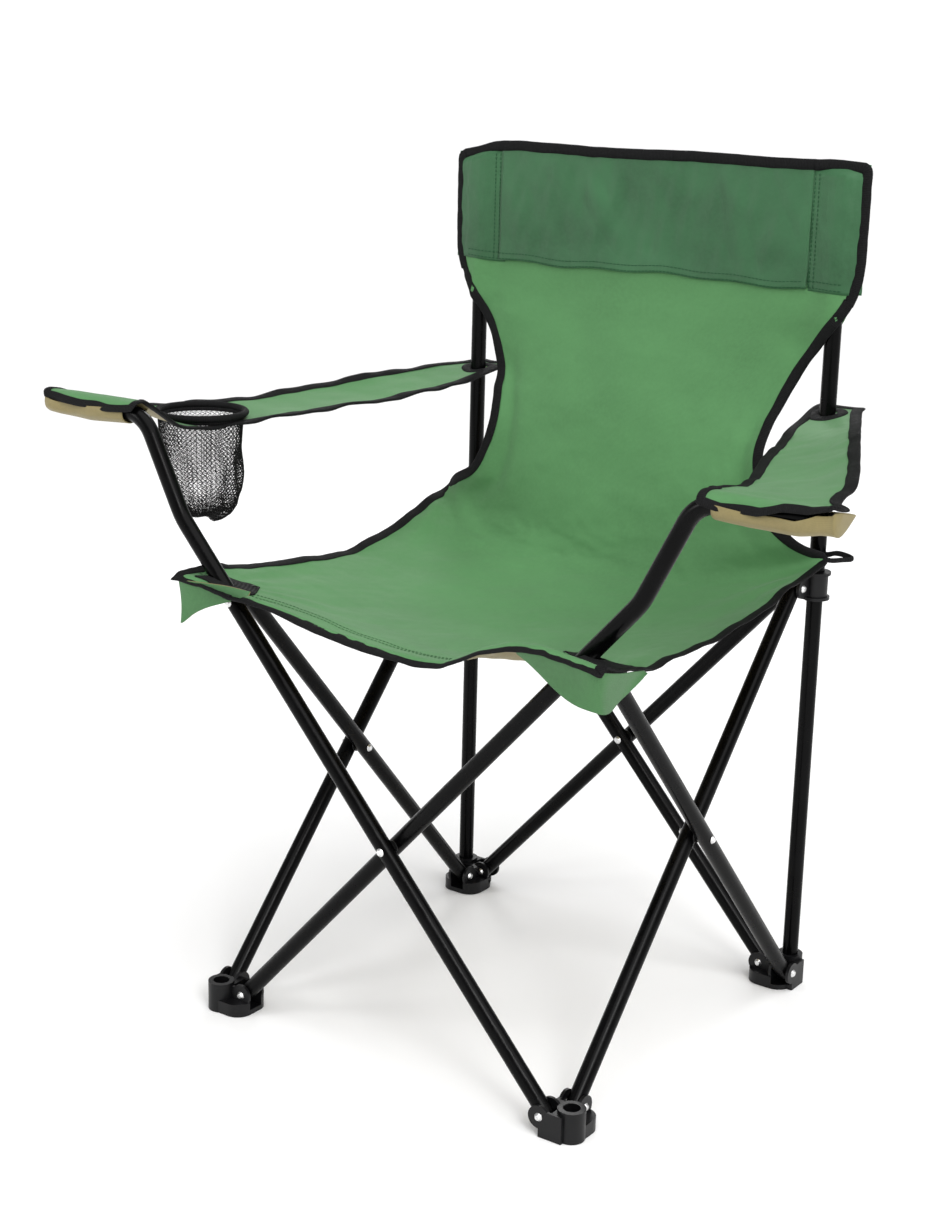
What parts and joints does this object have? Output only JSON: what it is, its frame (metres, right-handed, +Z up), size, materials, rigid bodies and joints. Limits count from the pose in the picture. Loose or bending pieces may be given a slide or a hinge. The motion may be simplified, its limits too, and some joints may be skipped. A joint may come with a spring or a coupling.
{
  "type": "folding camp chair",
  "caption": "Folding camp chair of crossed steel tubes with a hung fabric seat and back, strap armrests and a mesh cup pocket in one armrest.",
  "frame": {"origin": "on the floor under the middle of the open chair", "axes": "+Z up; -Y towards the front; +X towards the armrest with no cup pocket"},
  "size_m": [0.84, 0.48, 0.838],
  "materials": {
    "frame_tube": "gloss black powder coat on steel tube",
    "moulded_plastic": "satin black moulded nylon",
    "cap_plastic": "satin black",
    "spacer_nylon": "satin",
    "rivet_steel": "zinc-plated, satin",
    "seat_fabric": "woven polyester, slight sheen",
    "band_fabric": "double layer woven polyester",
    "black_webbing": "woven tape",
    "black_mesh": "open knitted mesh"
  },
  "bodies": {
    "rear_left_upright": {"foot_rear_left": "moulded_plastic", "foot_rivets_rear_left": "rivet_steel", "upright_left": "frame_tube", "upright_cap_left": "cap_plastic", "arm_grommet_left": "black_webbing", "seat_panel": "seat_fabric", "back_panel": "seat_fabric", "headrest_band": "band_fabric", "armrest_left": "seat_fabric", "armrest_right": "seat_fabric", "cup_ring": "black_webbing", "cup_pocket": "black_mesh"},
    "left_rear_tube": {"left_tube_rear_foot_to_hub": "frame_tube", "centre_rivet_left": "rivet_steel", "spacer_washer_left": "spacer_nylon"},
    "left_front_tube": {"left_tube_front_foot_to_slider": "frame_tube"},
    "front_left_foot": {"foot_front_left": "moulded_plastic", "foot_rivets_front_left": "rivet_steel"},
    "left_slider": {"slider_rear_left": "moulded_plastic", "slider_rivets_rear_left": "rivet_steel", "seat_strap_left": "black_webbing"},
    "left_hub": {"hub_front_left": "moulded_plastic", "hub_rivets_front_left": "rivet_steel", "corner_patch_left": "black_webbing", "corner_flap_left": "seat_fabric"},
    "back_left_tube": {"back_tube_from_left_foot": "frame_tube", "centre_rivet_back": "rivet_steel", "spacer_washer_back": "spacer_nylon"},
    "back_right_tube": {"back_tube_from_right_foot": "frame_tube"},
    "rear_right_upright": {"foot_rear_right": "moulded_plastic", "foot_rivets_rear_right": "rivet_steel", "upright_right": "frame_tube", "upright_cap_right": "cap_plastic", "arm_grommet_right": "black_webbing"},
    "right_slider": {"slider_rear_right": "moulded_plastic", "slider_rivets_rear_right": "rivet_steel", "seat_strap_right": "black_webbing"},
    "right_arm_tube": {"front_tube_to_right_arm": "frame_tube", "arm_post_cap_right": "cap_plastic", "centre_rivet_front": "rivet_steel", "spacer_washer_front": "spacer_nylon"},
    "left_arm_tube": {"front_tube_to_left_arm": "frame_tube", "arm_post_cap_left": "cap_plastic"},
    "front_right_foot": {"foot_front_right": "moulded_plastic", "foot_rivets_front_right": "rivet_steel"},
    "right_hub": {"hub_front_right": "moulded_plastic", "hub_rivets_front_right": "rivet_steel", "corner_patch_right": "black_webbing", "corner_flap_right": "seat_fabric"},
    "right_front_tube": {"right_tube_front_foot_to_slider": "frame_tube", "centre_rivet_right": "rivet_steel", "spacer_washer_right": "spacer_nylon"},
    "right_rear_tube": {"right_tube_rear_foot_to_hub": "frame_tube"}
  },
  "joints": [
    {"name": "fold", "type": "hinge", "parent": "rear_left_upright", "child": "left_rear_tube", "pos_m": [-0.19625, 0.184, 0.019], "axis": [-1, 0, 0], "range_deg": [0, 35.3], "deforming": ["seat_panel", "back_panel", "headrest_band", "armrest_left", "armrest_right", "cup_ring", "cup_pocket"]},
    {"name": "left_cross", "type": "hinge", "parent": "left_rear_tube", "child": "left_front_tube", "pos_m": [-0.205, 0, 0.2225], "axis": [1, 0, 0], "range_deg": [0, 70.6]},
    {"name": "front_left_foot_pivot", "type": "hinge", "parent": "left_front_tube", "child": "front_left_foot", "pos_m": [-0.21375, -0.184, 0.019], "axis": [-1, 0, 0], "range_deg": [0, 35.3]},
    {"name": "left_slider_pivot", "type": "hinge", "parent": "left_front_tube", "child": "left_slider", "pos_m": [-0.21375, 0.184, 0.426], "axis": [-1, 0, 0], "range_deg": [0, 35.3]},
    {"name": "left_hub_pivot", "type": "hinge", "parent": "left_rear_tube", "child": "left_hub", "pos_m": [-0.19625, -0.184, 0.426], "axis": [1, 0, 0], "range_deg": [0, 35.3]},
    {"name": "back_left_foot_pivot", "type": "hinge", "parent": "rear_left_upright", "child": "back_left_tube", "pos_m": [-0.184, 0.21375, 0.019], "axis": [0, -1, 0], "range_deg": [0, 35.3]},
    {"name": "back_cross", "type": "hinge", "parent": "back_left_tube", "child": "back_right_tube", "pos_m": [0, 0.205, 0.2225], "axis": [0, 1, 0], "range_deg": [0, 70.6]},
    {"name": "rear_right_foot_pivot", "type": "hinge", "parent": "back_right_tube", "child": "rear_right_upright", "pos_m": [0.184, 0.19625, 0.019], "axis": [0, -1, 0], "range_deg": [0, 35.3]},
    {"name": "right_slider_pivot", "type": "hinge", "parent": "back_left_tube", "child": "right_slider", "pos_m": [0.184, 0.21375, 0.426], "axis": [0, 1, 0], "range_deg": [0, 35.3]},
    {"name": "front_tube_foot_pivot", "type": "hinge", "parent": "front_left_foot", "child": "right_arm_tube", "pos_m": [-0.184, -0.19625, 0.019], "axis": [0, -1, 0], "range_deg": [0, 35.3]},
    {"name": "front_cross", "type": "hinge", "parent": "right_arm_tube", "child": "left_arm_tube", "pos_m": [0, -0.205, 0.2225], "axis": [0, 1, 0], "range_deg": [0, 70.6]},
    {"name": "front_right_foot_pivot", "type": "hinge", "parent": "left_arm_tube", "child": "front_right_foot", "pos_m": [0.184, -0.21375, 0.019], "axis": [0, -1, 0], "range_deg": [0, 35.3]},
    {"name": "right_hub_pivot", "type": "hinge", "parent": "right_arm_tube", "child": "right_hub", "pos_m": [0.184, -0.19625, 0.426], "axis": [0, 1, 0], "range_deg": [0, 35.3]},
    {"name": "right_tube_foot_pivot", "type": "hinge", "parent": "front_right_foot", "child": "right_front_tube", "pos_m": [0.19625, -0.184, 0.019], "axis": [1, 0, 0], "range_deg": [0, 35.3]},
    {"name": "right_cross", "type": "hinge", "parent": "right_front_tube", "child": "right_rear_tube", "pos_m": [0.205, 0, 0.2225], "axis": [-1, 0, 0], "range_deg": [0, 70.6]}
  ],
  "couplings": [
    {"joint": "left_cross", "follows": "fold", "ratio": 2},
    {"joint": "front_left_foot_pivot", "follows": "fold", "ratio": 1},
    {"joint": "left_slider_pivot", "follows": "fold", "ratio": 1},
    {"joint": "left_hub_pivot", "follows": "fold", "ratio": 1},
    {"joint": "back_left_foot_pivot", "follows": "fold", "ratio": 1},
    {"joint": "back_cross", "follows": "fold", "ratio": 2},
    {"joint": "rear_right_foot_pivot", "follows": "fold", "ratio": 1},
    {"joint": "right_slider_pivot", "follows": "fold", "ratio": 1},
    {"joint": "front_tube_foot_pivot", "follows": "fold", "ratio": 1},
    {"joint": "front_cross", "follows": "fold", "ratio": 2},
    {"joint": "front_right_foot_pivot", "follows": "fold", "ratio": 1},
    {"joint": "right_hub_pivot", "follows": "fold", "ratio": 1},
    {"joint": "right_tube_foot_pivot", "follows": "fold", "ratio": 1},
    {"joint": "right_cross", "follows": "fold", "ratio": 2}
  ]
}
